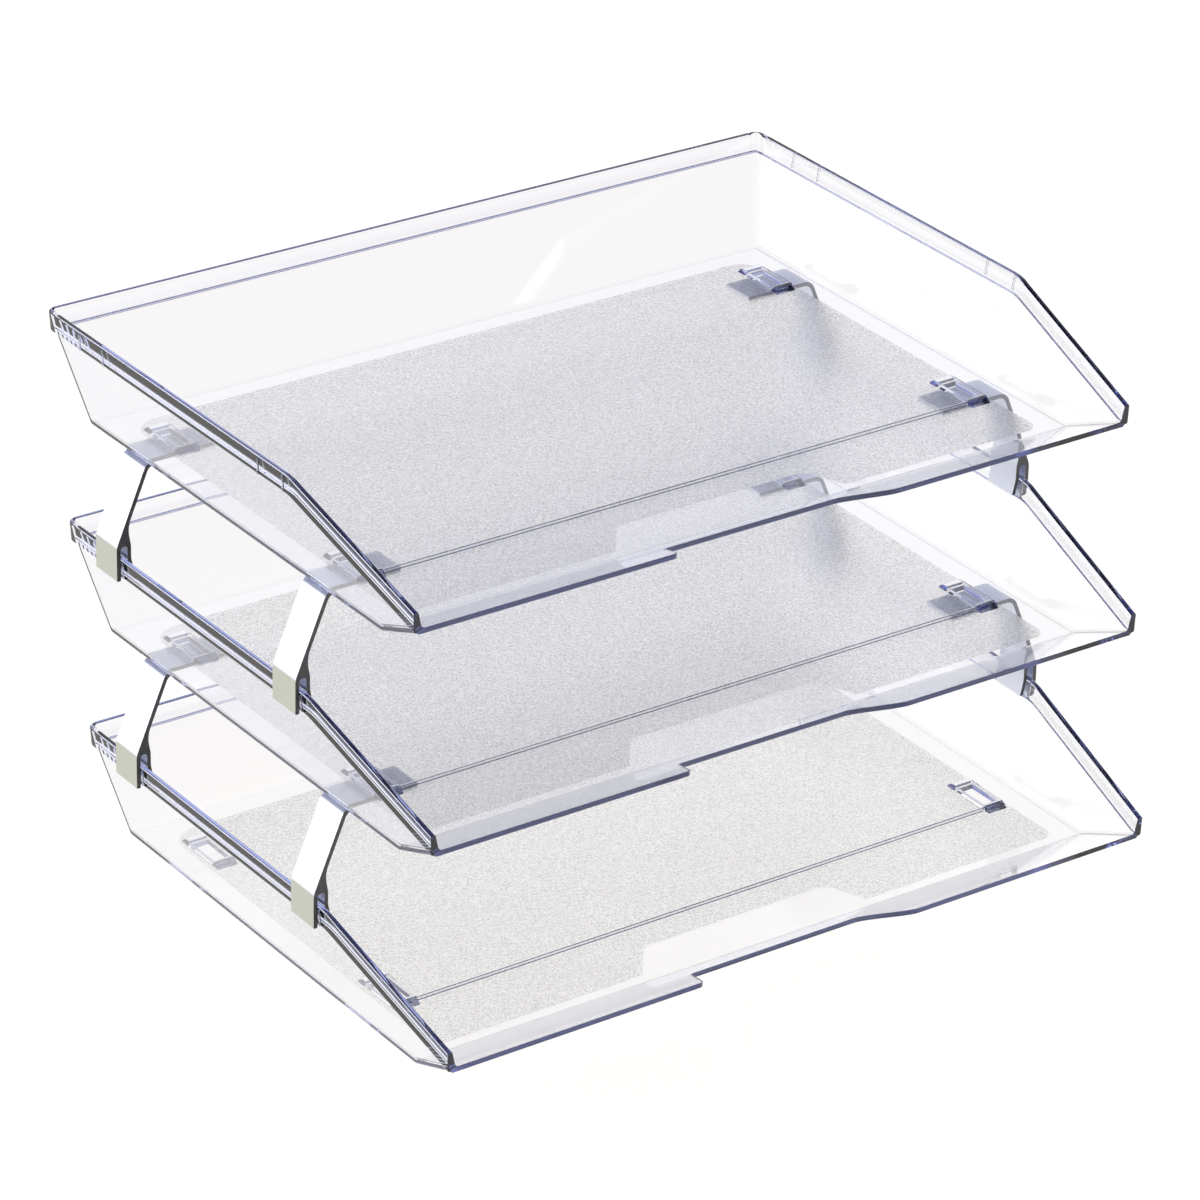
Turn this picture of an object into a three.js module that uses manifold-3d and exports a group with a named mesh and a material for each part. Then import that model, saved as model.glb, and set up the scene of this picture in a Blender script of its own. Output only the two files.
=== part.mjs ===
// A three-tier letter tray: three identical clear side-load trays, stacked on eight metal risers.
// Millimetres. +Z is up, -Y is the open front, and X runs across the width.
// The origin is on the ground, in the middle of the whole stack.

import * as THREE from 'three';
import { ConvexGeometry } from 'three/addons/geometries/ConvexGeometry.js';
import { mergeVertices } from 'three/addons/utils/BufferGeometryUtils.js';
import Module from 'manifold-3d';

const wasm = await Module();
wasm.setup();

// ---------------------------------------------------------------- driving dimensions

// The stack.
const TIER_NAMES = ['bottom', 'middle', 'top'];
const TIER_PITCH = 91;
const TIER_SET_BACK = 13.5;
const GAP = 0.3;

// The tray's rim: a thicker band along the top of each wall, upright outside and drafted inside.
const RIM_HALF_WIDTH = 182.5;
const RIM_HALF_DEPTH = 134;
const RIM_HEIGHT = 49;
const RIM_FRONT_HEIGHT = 22.2;
const RIM_BEND_Y = -53.5;
const RIM_BEND_RADIUS = 22;
const BAND_HEIGHT = 8.8;
const BAND_THICKNESS = 2.5;
const BAND_LEAN = 0.4;

// The tray's floor, walls and front ramp.
const SHEET = 2.2;
const FLOOR_HALF_WIDTH = 171.5;
const FLOOR_BACK = 118;
const FLOOR_FRONT = -104;
const RAMP_RISE = 12.5;
const CORNER_RADIUS = 5;

// The finger cut-out in the ramp: a leaning left end with a rounded tip, a straight run and an S-curve.
const CUTOUT_DEPTH = 18;
const CUTOUT_LEFT_TIP = -52;
const CUTOUT_LEFT_CORNER = -45.5;
const CUTOUT_RUN_END = 37.5;
const CUTOUT_RIGHT_TIP = 58;
const CUTOUT_CORNER_RADIUS = 2;
const CUTOUT_TIP_RADIUS = 4;
const CUTOUT_SKIM = 0.05;

// The risers' places, from back to front, in the frame of the tray that rests on them.
const RISER_ROWS = { back: 82.8, front: -54.5 };
const RISER_WIDTH = 17;
const RISER_THICKNESS = 2;

// The tray's fittings above each riser: a strap over a hole, notches under the walls, and ribs on the rim.
const NOTCH_LENGTH = 19;
const NOTCH_SIZE = 1;
const BRIDGE_INNER_X = 146.5;
const BRIDGE_WIDTH = 9.5;
const BRIDGE_LENGTH = 29.5;
const BRIDGE_SPAN = 20;
const BRIDGE_TOP_Z = 4.8;
const BRIDGE_THICKNESS = 1.5;
const BRIDGE_FOOT_RUN = 3;
const BRIDGE_HOLE_LENGTH = 17;
const BRIDGE_HOLE_MARGIN = 0.5;
const FLOOR_RIB_Y = -65.6;
const FLOOR_RIB_THICKNESS = 1.2;
const FLOOR_RIB_HEIGHT = 1.7;
const RIM_RIB_SPACING = 18.4;
const RIM_RIB_THICKNESS = 0.8;
const RIM_RIB_PROUD = 0.6;

// The riser's section: a tab under the upper floor, a sloping leg, and a fork over the lower rim.
const TAB_TIP_X = 135.6;
const TAB_BEND_RADIUS = 6;
const LEG_SHIN_Z = 55;
const LEG_LEAN = 0.417;
const KNEE_RADIUS = 9;
const OUTER_LEG_BOTTOM_Z = 39.6;
const OUTER_CLEARANCE = 0.4;
const SLOT_TOP_Z = 55;
const INNER_LEG_INNER_X = 177.9;
const INNER_LEG_BOTTOM_Z = 42;
const INNER_LEG_KNEE_Z = 55;
const CROTCH_Z = 63;
const CROTCH_RADIUS = 14;
const FOOT_RADIUS = 0.5;

const ARC_STEPS = 6;
const OVERRUN = 10;

// ---------------------------------------------------------------- derived dimensions

const LIP_Z = RIM_HEIGHT - BAND_HEIGHT;
const SIDE_DRAFT = (RIM_HALF_WIDTH - BAND_THICKNESS + SHEET - FLOOR_HALF_WIDTH) / RIM_HEIGHT;
const BACK_DRAFT = (RIM_HALF_DEPTH - BAND_THICKNESS + SHEET - FLOOR_BACK) / RIM_HEIGHT;
const FRONT_Y = -RIM_HALF_DEPTH;
const RAMP_SLOPE = RAMP_RISE / (FLOOR_FRONT - FRONT_Y);
const TAB_TOP_Z = TIER_PITCH - GAP;
const TAB_BOTTOM_Z = TAB_TOP_Z - RISER_THICKNESS;

// ---------------------------------------------------------------- shape helpers

/** A chain of corners [x, y, radius] as points, with an arc at each corner that has a radius. */
function rounded(corners) {
  const place = ([x, y]) => new THREE.Vector2(x, y);
  return corners.flatMap((entry, i) => {
    const corner = place(entry);
    const radius = entry[2] ?? 0;
    if (radius === 0) return [corner];
    const back = place(corners.at(i - 1)).sub(corner).normalize();
    const ahead = place(corners[(i + 1) % corners.length]).sub(corner).normalize();
    const halfAngle = Math.acos(back.dot(ahead)) / 2;
    const centre = back.clone().add(ahead).setLength(radius / Math.sin(halfAngle)).add(corner);
    const setback = radius / Math.tan(halfAngle);
    const start = corner.clone().addScaledVector(back, setback).sub(centre);
    const end = corner.clone().addScaledVector(ahead, setback).sub(centre);
    const clockwise = start.cross(end) < 0;
    const arc = new THREE.EllipseCurve(
      centre.x, centre.y, radius, radius, start.angle(), end.angle(), clockwise);
    return arc.getPoints(ARC_STEPS);
  });
}

/** A geometry as a solid that can be joined and cut. */
function solid(geometry) {
  const bare = geometry.clone();
  bare.deleteAttribute('normal');
  bare.deleteAttribute('uv');
  const welded = mergeVertices(bare);
  const vertProperties = new Float32Array(welded.attributes.position.array);
  const triVerts = new Uint32Array(welded.index.array);
  return new wasm.Manifold(new wasm.Mesh({ numProp: 3, vertProperties, triVerts }));
}

function box(xFrom, xTo, yFrom, yTo, zFrom, zTo) {
  const geometry = new THREE.BoxGeometry(xTo - xFrom, yTo - yFrom, zTo - zFrom);
  geometry.translate((xFrom + xTo) / 2, (yFrom + yTo) / 2, (zFrom + zTo) / 2);
  return solid(geometry);
}

/** An outline of (y, z) points, extruded along X. */
function prismAlongX(points, from, to) {
  const geometry = new THREE.ExtrudeGeometry(
    new THREE.Shape(points), { depth: to - from, bevelEnabled: false });
  const turn = new THREE.Matrix4().makeBasis(
    new THREE.Vector3(0, 1, 0), new THREE.Vector3(0, 0, 1), new THREE.Vector3(1, 0, 0));
  geometry.applyMatrix4(turn);
  geometry.translate(from, 0, 0);
  return solid(geometry);
}

/** An outline of (x, z) points, extruded along Y about a middle. */
function prismAlongY(points, middle, length) {
  const geometry = new THREE.ExtrudeGeometry(
    new THREE.Shape(points), { depth: length, bevelEnabled: false });
  geometry.rotateX(Math.PI / 2);
  geometry.translate(0, middle + length / 2, 0);
  return solid(geometry);
}

/** An outline of (x, y) points, extruded along Z. */
function prismAlongZ(points, from, to) {
  const geometry = new THREE.ExtrudeGeometry(
    new THREE.Shape(points), { depth: to - from, bevelEnabled: false });
  geometry.translate(0, 0, from);
  return solid(geometry);
}

function hull(points) {
  return solid(new ConvexGeometry(points));
}

// ---------------------------------------------------------------- the tray

/** A flat outline at one height, square at the front and with round corners at the back. */
function planOutline(halfWidth, front, back, height) {
  const corners = [
    [halfWidth, front],
    [halfWidth, back, CORNER_RADIUS],
    [-halfWidth, back, CORNER_RADIUS],
    [-halfWidth, front],
  ];
  return rounded(corners).map(({ x, y }) => new THREE.Vector3(x, y, height));
}

/** The space inside the drafted wall planes, drawn in by an inset, between two heights. */
function draftedBlock(inset, low, high) {
  const outlineAt = (z) => planOutline(
    FLOOR_HALF_WIDTH + SIDE_DRAFT * z - inset,
    FRONT_Y - 2 * OVERRUN,
    FLOOR_BACK + BACK_DRAFT * z - inset,
    z);
  return hull([...outlineAt(low), ...outlineAt(high)]);
}

/** The rim's top line as seen from the side, as (y, z) points from the back to the front. */
function rimLine() {
  return rounded([
    [RIM_HALF_DEPTH, RIM_HEIGHT],
    [RIM_BEND_Y, RIM_HEIGHT, RIM_BEND_RADIUS],
    [FRONT_Y, RIM_FRONT_HEIGHT],
  ]);
}

/** Everything between the underside, raised by a lift, and the rim line, raised by a rise. */
function sideProfile(lift, rise, frontEnd) {
  const rampLift = lift * Math.hypot(1, RAMP_SLOPE);
  const foldShift = (rampLift - lift) / RAMP_SLOPE;
  const backEnd = RIM_HALF_DEPTH + OVERRUN;
  const topLine = rimLine().slice(0, -1).map(({ x, y }) => new THREE.Vector2(x, y + rise));
  return [
    new THREE.Vector2(backEnd, RIM_HEIGHT + rise),
    ...topLine,
    new THREE.Vector2(frontEnd, RIM_FRONT_HEIGHT + rise),
    new THREE.Vector2(frontEnd, RAMP_SLOPE * (FLOOR_FRONT - frontEnd) + rampLift),
    new THREE.Vector2(FLOOR_FRONT + foldShift, lift),
    new THREE.Vector2(backEnd, lift),
  ];
}

/** The tray's outer block below the rim band, reaching halfway up into the band. */
function wallBlock() {
  const reach = RIM_HALF_WIDTH + OVERRUN;
  const profile = sideProfile(0, -BAND_HEIGHT / 2, FRONT_Y);
  return draftedBlock(0, 0, RIM_HEIGHT).intersect(prismAlongX(profile, -reach, reach));
}

/** The room inside the tray, above the floor and the ramp. */
function roomInside() {
  const reach = RIM_HALF_WIDTH + OVERRUN;
  const profile = sideProfile(SHEET, OVERRUN, FRONT_Y - OVERRUN);
  return draftedBlock(SHEET, 0, RIM_HEIGHT + OVERRUN).intersect(prismAlongX(profile, -reach, reach));
}

/** The rim's outer block: level round the back, then an arm along each side down to the front. */
function rimBlock() {
  const line = rimLine();
  const levelEnd = line[1].x;
  const outlineAt = (z) => {
    const lean = BAND_LEAN * (RIM_HEIGHT - z) / BAND_HEIGHT;
    return planOutline(RIM_HALF_WIDTH - lean, levelEnd, RIM_HALF_DEPTH - lean, z);
  };
  const sectionAt = (side, { x: y, y: top }) => {
    const outerTop = RIM_HALF_WIDTH - SIDE_DRAFT * (RIM_HEIGHT - top);
    const inside = outerTop - 2 * BAND_THICKNESS;
    return [
      new THREE.Vector3(side * outerTop, y, top),
      new THREE.Vector3(side * inside, y, top),
      new THREE.Vector3(side * (outerTop - BAND_LEAN), y, top - BAND_HEIGHT),
      new THREE.Vector3(side * inside, y, top - BAND_HEIGHT),
    ];
  };
  let block = hull([...outlineAt(LIP_Z), ...outlineAt(RIM_HEIGHT)]);
  for (const side of [-1, 1]) {
    for (let i = 2; i < line.length; i += 1) {
      block = block.add(hull([...sectionAt(side, line[i - 1]), ...sectionAt(side, line[i])]));
    }
  }
  return block;
}

/** The two upright ribs that hold one riser's outer leg in place along the rim. */
function rimRibs(side, row) {
  const root = RIM_HALF_WIDTH - BAND_THICKNESS / 2;
  const crest = RIM_HALF_WIDTH + RIM_RIB_PROUD;
  const outline = [
    new THREE.Vector2(side * (root - BAND_LEAN), LIP_Z),
    new THREE.Vector2(side * (crest - BAND_LEAN), LIP_Z),
    new THREE.Vector2(side * crest, RIM_HEIGHT),
    new THREE.Vector2(side * root, RIM_HEIGHT),
  ];
  const middle = RISER_ROWS[row] + TIER_SET_BACK;
  const ribAt = (offset) => prismAlongY(outline, middle + offset, RIM_RIB_THICKNESS);
  return ribAt(-RIM_RIB_SPACING / 2).add(ribAt(RIM_RIB_SPACING / 2));
}

/** The low strap that stands over a hole in the floor, above one riser's tab. */
function bridge(side, row) {
  const middle = RISER_ROWS[row];
  const root = SHEET / 2;
  const ends = [BRIDGE_LENGTH / 2, BRIDGE_LENGTH / 2 - BRIDGE_FOOT_RUN];
  const outline = [
    new THREE.Vector2(middle - ends[0], root),
    new THREE.Vector2(middle - ends[0], SHEET),
    new THREE.Vector2(middle - ends[1], BRIDGE_TOP_Z),
    new THREE.Vector2(middle + ends[1], BRIDGE_TOP_Z),
    new THREE.Vector2(middle + ends[0], SHEET),
    new THREE.Vector2(middle + ends[0], root),
    new THREE.Vector2(middle + BRIDGE_SPAN / 2, root),
    new THREE.Vector2(middle + BRIDGE_SPAN / 2, BRIDGE_TOP_Z - BRIDGE_THICKNESS),
    new THREE.Vector2(middle - BRIDGE_SPAN / 2, BRIDGE_TOP_Z - BRIDGE_THICKNESS),
    new THREE.Vector2(middle - BRIDGE_SPAN / 2, root),
  ];
  const from = side > 0 ? BRIDGE_INNER_X : -BRIDGE_INNER_X - BRIDGE_WIDTH;
  return prismAlongX(outline, from, from + BRIDGE_WIDTH);
}

/** The cuts for one riser: a hole under the bridge, and a notch along the wall's bottom edge. */
function riserCuts(side, row) {
  const middle = RISER_ROWS[row];
  const ends = [BRIDGE_INNER_X + BRIDGE_HOLE_MARGIN, BRIDGE_INNER_X + BRIDGE_WIDTH - BRIDGE_HOLE_MARGIN];
  const [from, to] = side > 0 ? ends : [-ends[1], -ends[0]];
  const hole = box(
    from, to,
    middle - BRIDGE_HOLE_LENGTH / 2, middle + BRIDGE_HOLE_LENGTH / 2,
    -OVERRUN, SHEET + GAP);
  const notch = prismAlongY([
    new THREE.Vector2(side * (FLOOR_HALF_WIDTH - NOTCH_SIZE - GAP), -GAP),
    new THREE.Vector2(side * (FLOOR_HALF_WIDTH + NOTCH_SIZE), -GAP),
    new THREE.Vector2(side * (FLOOR_HALF_WIDTH + NOTCH_SIZE), 2 * NOTCH_SIZE),
  ], middle, NOTCH_LENGTH);
  return hole.add(notch);
}

/** The finger cut-out through the ramp. */
function fingerCutout() {
  const innerEdge = FRONT_Y + CUTOUT_DEPTH;
  const beyond = FRONT_Y - OVERRUN;
  const bend = (CUTOUT_RIGHT_TIP - CUTOUT_RUN_END) / 2;
  const sCurve = new THREE.CubicBezierCurve(
    new THREE.Vector2(CUTOUT_RUN_END, innerEdge),
    new THREE.Vector2(CUTOUT_RUN_END + bend, innerEdge),
    new THREE.Vector2(CUTOUT_RIGHT_TIP - bend, FRONT_Y),
    new THREE.Vector2(CUTOUT_RIGHT_TIP, FRONT_Y));
  const tipStart = CUTOUT_LEFT_TIP - 2 * CUTOUT_TIP_RADIUS;
  const leftEnd = rounded([
    [tipStart, beyond],
    [tipStart, FRONT_Y - CUTOUT_SKIM],
    [CUTOUT_LEFT_TIP, FRONT_Y - CUTOUT_SKIM, CUTOUT_TIP_RADIUS],
    [CUTOUT_LEFT_CORNER, innerEdge, CUTOUT_CORNER_RADIUS],
    [CUTOUT_RUN_END, innerEdge],
  ]).slice(0, -1);
  const outline = [
    ...leftEnd,
    ...sCurve.getPoints(2 * ARC_STEPS),
    new THREE.Vector2(CUTOUT_RIGHT_TIP, beyond),
  ];
  return prismAlongZ(outline, -OVERRUN, RIM_HEIGHT);
}

/** The low rib across the floor between the two front bridges. */
function floorRib() {
  const reach = BRIDGE_INNER_X + BRIDGE_WIDTH / 2;
  const half = FLOOR_RIB_THICKNESS / 2;
  return box(-reach, reach, FLOOR_RIB_Y - half, FLOOR_RIB_Y + half, SHEET / 2, SHEET + FLOOR_RIB_HEIGHT);
}

function traySolid() {
  let tray = wallBlock().add(rimBlock()).subtract(roomInside());
  tray = tray.subtract(fingerCutout()).add(floorRib());
  for (const side of [-1, 1]) {
    for (const row of Object.keys(RISER_ROWS)) {
      tray = tray.subtract(riserCuts(side, row));
      tray = tray.add(bridge(side, row)).add(rimRibs(side, row));
    }
  }
  return tray;
}

// ---------------------------------------------------------------- the riser

/** The riser's section in (x, z), in the frame of the tray that it stands on. */
function riserSection(side) {
  const outerX = RIM_HALF_WIDTH + OUTER_CLEARANCE + RISER_THICKNESS;
  const slotOuterX = RIM_HALF_WIDTH + OUTER_CLEARANCE;
  const slotInnerX = RIM_HALF_WIDTH - BAND_THICKNESS - GAP;
  const innerLegSplay = SIDE_DRAFT * (RIM_HEIGHT - INNER_LEG_BOTTOM_Z);
  const legOuterAt = (z) => outerX - LEG_LEAN * (z - LEG_SHIN_Z);
  const legInnerAt = (z) => legOuterAt(z) - RISER_THICKNESS * Math.hypot(1, LEG_LEAN);
  const slotRadius = (slotOuterX - slotInnerX) / 2 - GAP / 2;
  const corners = [
    [TAB_TIP_X, TAB_BOTTOM_Z],
    [TAB_TIP_X, TAB_TOP_Z],
    [legOuterAt(TAB_TOP_Z), TAB_TOP_Z, TAB_BEND_RADIUS],
    [outerX, LEG_SHIN_Z, KNEE_RADIUS],
    [outerX, OUTER_LEG_BOTTOM_Z, FOOT_RADIUS],
    [slotOuterX, OUTER_LEG_BOTTOM_Z, FOOT_RADIUS],
    [slotOuterX, SLOT_TOP_Z, slotRadius],
    [slotInnerX, SLOT_TOP_Z, slotRadius],
    [slotInnerX, RIM_HEIGHT],
    [slotInnerX - innerLegSplay, INNER_LEG_BOTTOM_Z],
    [INNER_LEG_INNER_X - innerLegSplay, INNER_LEG_BOTTOM_Z],
    [INNER_LEG_INNER_X, RIM_HEIGHT],
    [INNER_LEG_INNER_X, INNER_LEG_KNEE_Z],
    [legInnerAt(CROTCH_Z), CROTCH_Z, CROTCH_RADIUS],
    [legInnerAt(TAB_BOTTOM_Z), TAB_BOTTOM_Z, TAB_BEND_RADIUS - RISER_THICKNESS],
  ];
  return rounded(corners).map(({ x, y }) => new THREE.Vector2(side * x, y));
}

// ---------------------------------------------------------------- the assembly

/** A named mesh with a material of its own. */
function piece(name, body, look) {
  const { vertProperties, triVerts } = body.getMesh();
  const indexed = new THREE.BufferGeometry();
  indexed.setAttribute('position', new THREE.BufferAttribute(vertProperties, 3));
  indexed.setIndex(new THREE.BufferAttribute(triVerts, 1));
  const geometry = indexed.toNonIndexed();
  geometry.computeVertexNormals();
  const mesh = new THREE.Mesh(geometry, new THREE.MeshStandardMaterial(look));
  mesh.name = name;
  return mesh;
}

const CLEAR_POLYSTYRENE = {
  color: 0xe4e9f4, roughness: 0.08, metalness: 0, transparent: true, opacity: 0.35,
};
const SATIN_ALUMINIUM = { color: 0xd2d3cf, roughness: 0.38, metalness: 1 };

const stack = new THREE.Group();
const tray = traySolid();
const sideNames = new Map([[-1, 'left'], [1, 'right']]);
const riserNames = ['lower', 'upper'];

TIER_NAMES.forEach((tierName, level) => {
  const tier = new THREE.Group();
  tier.position.set(0, (level - 1) * TIER_SET_BACK, level * TIER_PITCH);
  tier.add(piece(`tray_${tierName}`, tray, CLEAR_POLYSTYRENE));
  if (level < riserNames.length) {
    for (const [side, sideName] of sideNames) {
      for (const [row, rowY] of Object.entries(RISER_ROWS)) {
        const body = prismAlongY(riserSection(side), 0, RISER_WIDTH);
        const riser = piece(`riser_${riserNames[level]}_${row}_${sideName}`, body, SATIN_ALUMINIUM);
        riser.position.set(0, rowY + TIER_SET_BACK, 0);
        tier.add(riser);
      }
    }
  }
  stack.add(tier);
});

export default stack;
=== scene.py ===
"""A three-tier letter tray: three clear trays with frosted floors, stacked on eight satin metal risers.

Every tray and riser is built here as a finely rounded mesh in the place of its plain CAD solid, and rides on
that solid's body. Lengths are in millimetres up to the studio section, and are turned into metres where a
mesh is made; the studio's own lengths are in metres.
"""
import math

import bmesh
import bpy
from mathutils import Matrix, Vector


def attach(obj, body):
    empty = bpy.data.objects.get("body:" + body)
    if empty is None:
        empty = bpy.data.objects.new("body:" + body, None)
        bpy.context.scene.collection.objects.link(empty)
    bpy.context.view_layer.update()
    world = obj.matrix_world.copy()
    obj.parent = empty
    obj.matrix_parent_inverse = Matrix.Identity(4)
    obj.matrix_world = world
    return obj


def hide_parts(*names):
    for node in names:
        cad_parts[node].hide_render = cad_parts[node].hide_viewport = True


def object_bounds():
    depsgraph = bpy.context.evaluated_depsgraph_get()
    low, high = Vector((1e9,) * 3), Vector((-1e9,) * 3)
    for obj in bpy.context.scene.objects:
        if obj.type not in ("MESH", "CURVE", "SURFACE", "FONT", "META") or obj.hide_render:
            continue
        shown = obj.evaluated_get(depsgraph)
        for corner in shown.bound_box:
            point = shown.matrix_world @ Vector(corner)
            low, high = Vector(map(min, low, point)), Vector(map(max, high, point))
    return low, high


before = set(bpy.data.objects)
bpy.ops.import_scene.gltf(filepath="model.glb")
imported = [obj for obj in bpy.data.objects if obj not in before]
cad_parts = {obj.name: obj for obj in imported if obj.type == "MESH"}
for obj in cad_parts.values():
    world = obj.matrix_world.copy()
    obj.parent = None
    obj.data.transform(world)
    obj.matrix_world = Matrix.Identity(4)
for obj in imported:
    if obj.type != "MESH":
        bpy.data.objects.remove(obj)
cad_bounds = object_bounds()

# ------------------------------------------------------------------ driving dimensions, in millimetres

MM = 0.001
TIERS = ("bottom", "middle", "top")
RISER_LEVELS = ("lower", "upper")
TIER_PITCH = 91.0
TIER_SET_BACK = 13.5
GAP = 0.3

# The rim band: thicker than the wall below it, upright outside and drafted inside.
RIM_HALF_WIDTH = 182.5
RIM_HALF_DEPTH = 134.0
RIM_HEIGHT = 49.0
RIM_FRONT_HEIGHT = 22.2
RIM_BEND_Y = -53.5
RIM_BEND_RADIUS = 22.0
BAND_HEIGHT = 8.8
BAND_THICKNESS = 2.5
BAND_LEAN = 0.4
EDGE_RADIUS = 0.8

# The floor, the walls and the front ramp.
SHEET = 2.2
FLOOR_HALF_WIDTH = 171.5
FLOOR_BACK = 118.0
FLOOR_FRONT = -104.0
RAMP_RISE = 12.5
CORNER_RADIUS = 5.0
WALL_CORNER_RADIUS = 3.0
FOLD_RADIUS = 1.6

# The finger cut-out in the ramp. Its outline skims past the front edge before it rounds into the left tip.
CUTOUT_DEPTH = 18.0
CUTOUT_LEFT_TIP = -52.0
CUTOUT_LEFT_CORNER = -45.5
CUTOUT_RUN_END = 37.5
CUTOUT_RIGHT_TIP = 58.0
CUTOUT_RADIUS = 2.0
CUTOUT_TIP_RADIUS = 4.0
CUTOUT_SKIM = 0.05

# The fittings above the risers.
RISER_ROWS = {"back": 82.8, "front": -54.5}
SIDES = {"left": -1, "right": 1}
NOTCH_LENGTH = 19.0
NOTCH_SIZE = 1.0
BRIDGE_INNER_X = 146.5
BRIDGE_WIDTH = 9.5
BRIDGE_LENGTH = 29.5
BRIDGE_SPAN = 20.0
BRIDGE_TOP_Z = 4.8
BRIDGE_THICKNESS = 1.5
BRIDGE_FOOT_RUN = 3.0
BRIDGE_HOLE_LENGTH = 17.0
BRIDGE_HOLE_MARGIN = 0.5
FLOOR_RIB_Y = -65.6
FLOOR_RIB_THICKNESS = 1.2
FLOOR_RIB_HEIGHT = 1.7
FLOOR_RIB_RADIUS = 0.55
RIM_RIB_SPACING = 18.4
RIM_RIB_THICKNESS = 0.8
RIM_RIB_PROUD = 0.6

# The riser's section.
RISER_WIDTH = 17.0
RISER_THICKNESS = 2.0
TAB_TIP_X = 135.6
TAB_BEND_RADIUS = 6.0
LEG_SHIN_Z = 55.0
LEG_LEAN = 0.417
KNEE_RADIUS = 9.0
OUTER_LEG_BOTTOM_Z = 39.6
OUTER_CLEARANCE = 0.4
SLOT_TOP_Z = 55.0
INNER_LEG_INNER_X = 177.9
INNER_LEG_BOTTOM_Z = 42.0
INNER_LEG_KNEE_Z = 55.0
CROTCH_Z = 63.0
CROTCH_RADIUS = 14.0
FOOT_RADIUS = 0.6

# The gripping teeth inside the riser's outer leg.
TOOTH_PITCH = 1.2
TOOTH_DEPTH = 0.28
TOOTH_COUNT = 5
TOOTH_START_Z = 41.0

# The frosted panel in the floor, with a clear window behind the finger cut-out.
FROST_MARGIN = 11.0
FROST_RADIUS = 12.0
FROST_FRONT = -99.3
WINDOW_FRONT_LEFT = -57.6
WINDOW_BACK_LEFT = -44.0
WINDOW_BACK_RIGHT = 49.5
WINDOW_FRONT_RIGHT = 57.4
WINDOW_BACK_Y = -80.8
WINDOW_RADIUS = 7.0

# The fineness of the curves, as steps in an arc, and the places of the sections along the ramp's sides.
ARC_STEPS = 6
EDGE_STEPS = 5
CORNER_STEPS = 16
RAMP_SHARES = (0, 0.05, 0.12, 0.3, 0.6)

# How sharp edges are rounded and shaded.
TRAY_BEVEL = 0.15
TRAY_BEVEL_ANGLE = math.radians(20)
RISER_BEVEL = 0.22
RISER_BEVEL_ANGLE = math.radians(60)
BEVEL_SEGMENTS = 2
SHARP_ANGLE = math.radians(42)
FLAT_FACE_WEIGHT = 100

# How far a cutting shape reaches past what it cuts, and how near two points are taken as one.
OVERRUN = 6.0
MERGE_DISTANCE = 0.01

# A face looks along an axis when that part of its normal is larger than this.
FACING = 0.99

# ------------------------------------------------------------------ derived dimensions

FRONT_Y = -RIM_HALF_DEPTH
LIP_Z = RIM_HEIGHT - BAND_HEIGHT
SIDE_DRAFT = (RIM_HALF_WIDTH - BAND_THICKNESS + SHEET - FLOOR_HALF_WIDTH) / RIM_HEIGHT
BACK_DRAFT = (RIM_HALF_DEPTH - BAND_THICKNESS + SHEET - FLOOR_BACK) / RIM_HEIGHT
RAMP_SLOPE = RAMP_RISE / (FLOOR_FRONT - FRONT_Y)
RAMP_LIFT = SHEET * math.hypot(1, RAMP_SLOPE)
INNER_FOLD_Y = FLOOR_FRONT + (RAMP_LIFT - SHEET) / RAMP_SLOPE
RIM_SLOPE = (RIM_HEIGHT - RIM_FRONT_HEIGHT) / (RIM_BEND_Y - FRONT_Y)
BEND_REACH = RIM_BEND_RADIUS * math.tan(math.atan(RIM_SLOPE) / 2)
BEND_BACK_Y = RIM_BEND_Y + BEND_REACH
BEND_FRONT_Y = RIM_BEND_Y - BEND_REACH * math.cos(math.atan(RIM_SLOPE))
TAB_TOP_Z = TIER_PITCH - GAP
TAB_BOTTOM_Z = TAB_TOP_Z - RISER_THICKNESS

# ------------------------------------------------------------------ looks

# The frosted panel's slot while the tray is being made, and the face attribute that marks it afterwards.
PANEL_SLOT = 1
FROST_ATTRIBUTE = "frosted"

# The riser's slots in order: rolled metal, sheared ends dark partly as painted shade, foot darkened as
# painted shade.
ROLLED_SLOT = 0
SHEARED_AND_SHADED_SLOT = 1
SHADED_FOOT_SLOT = 2

# Clear polystyrene, which is blue only through its depth. The tint's density is per metre.
POLYSTYRENE_IOR = 1.58
POLISH_ROUGHNESS = 0.01
CLEAR_TONE = (0.985, 0.985, 0.98, 1.0)
EDGE_TINT = (0.20, 0.32, 0.93, 1.0)
EDGE_TINT_DENSITY = 20.0

# The frost: grains per metre, and the noise levels between which a grain darkens.
FROST_ROUGHNESS = 0.22
FROST_VARIATION = 0.10
FROST_GRAIN_SCALE = 1050.0
FROST_GRAIN_ROUGHNESS = 0.6
FROST_BUMP = 0.1
GRAIN_TONE = (0.45, 0.45, 0.44, 1.0)
GRAIN_START = 0.34
GRAIN_FULL = 0.72
GRAIN_DETAIL = 2.0

# Satin aluminium, with rolling marks that are fine across the strip and long along it.
RISER_GREY = (0.83, 0.86, 0.92, 1.0)
# The foot's tone is painted shade: the same metal, darker on the outer face of the leg below the knee.
SHADED_FOOT_GREY = (0.54, 0.56, 0.50, 1.0)
MARK_SCALE = (60.0, 4000.0, 60.0)
MARK_DETAIL = 3.0
MARK_ROUGHNESS_MIN = 0.26
MARK_ROUGHNESS_MAX = 0.40
MARK_BUMP_STRENGTH = 0.25
MARK_BUMP = 0.02

# The sheared ends of the strip: rough and grainy like cut metal, and dark partly from the cut and partly as
# painted shade.
SHEARED_AND_SHADED_DARK = (0.10, 0.10, 0.10, 1.0)
SHEARED_AND_SHADED_LIGHT = (0.14, 0.14, 0.14, 1.0)
SHEARED_ROUGHNESS = 0.5
SHEARED_GRAIN_SCALE = 1500.0

# ------------------------------------------------------------------ studio

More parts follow.
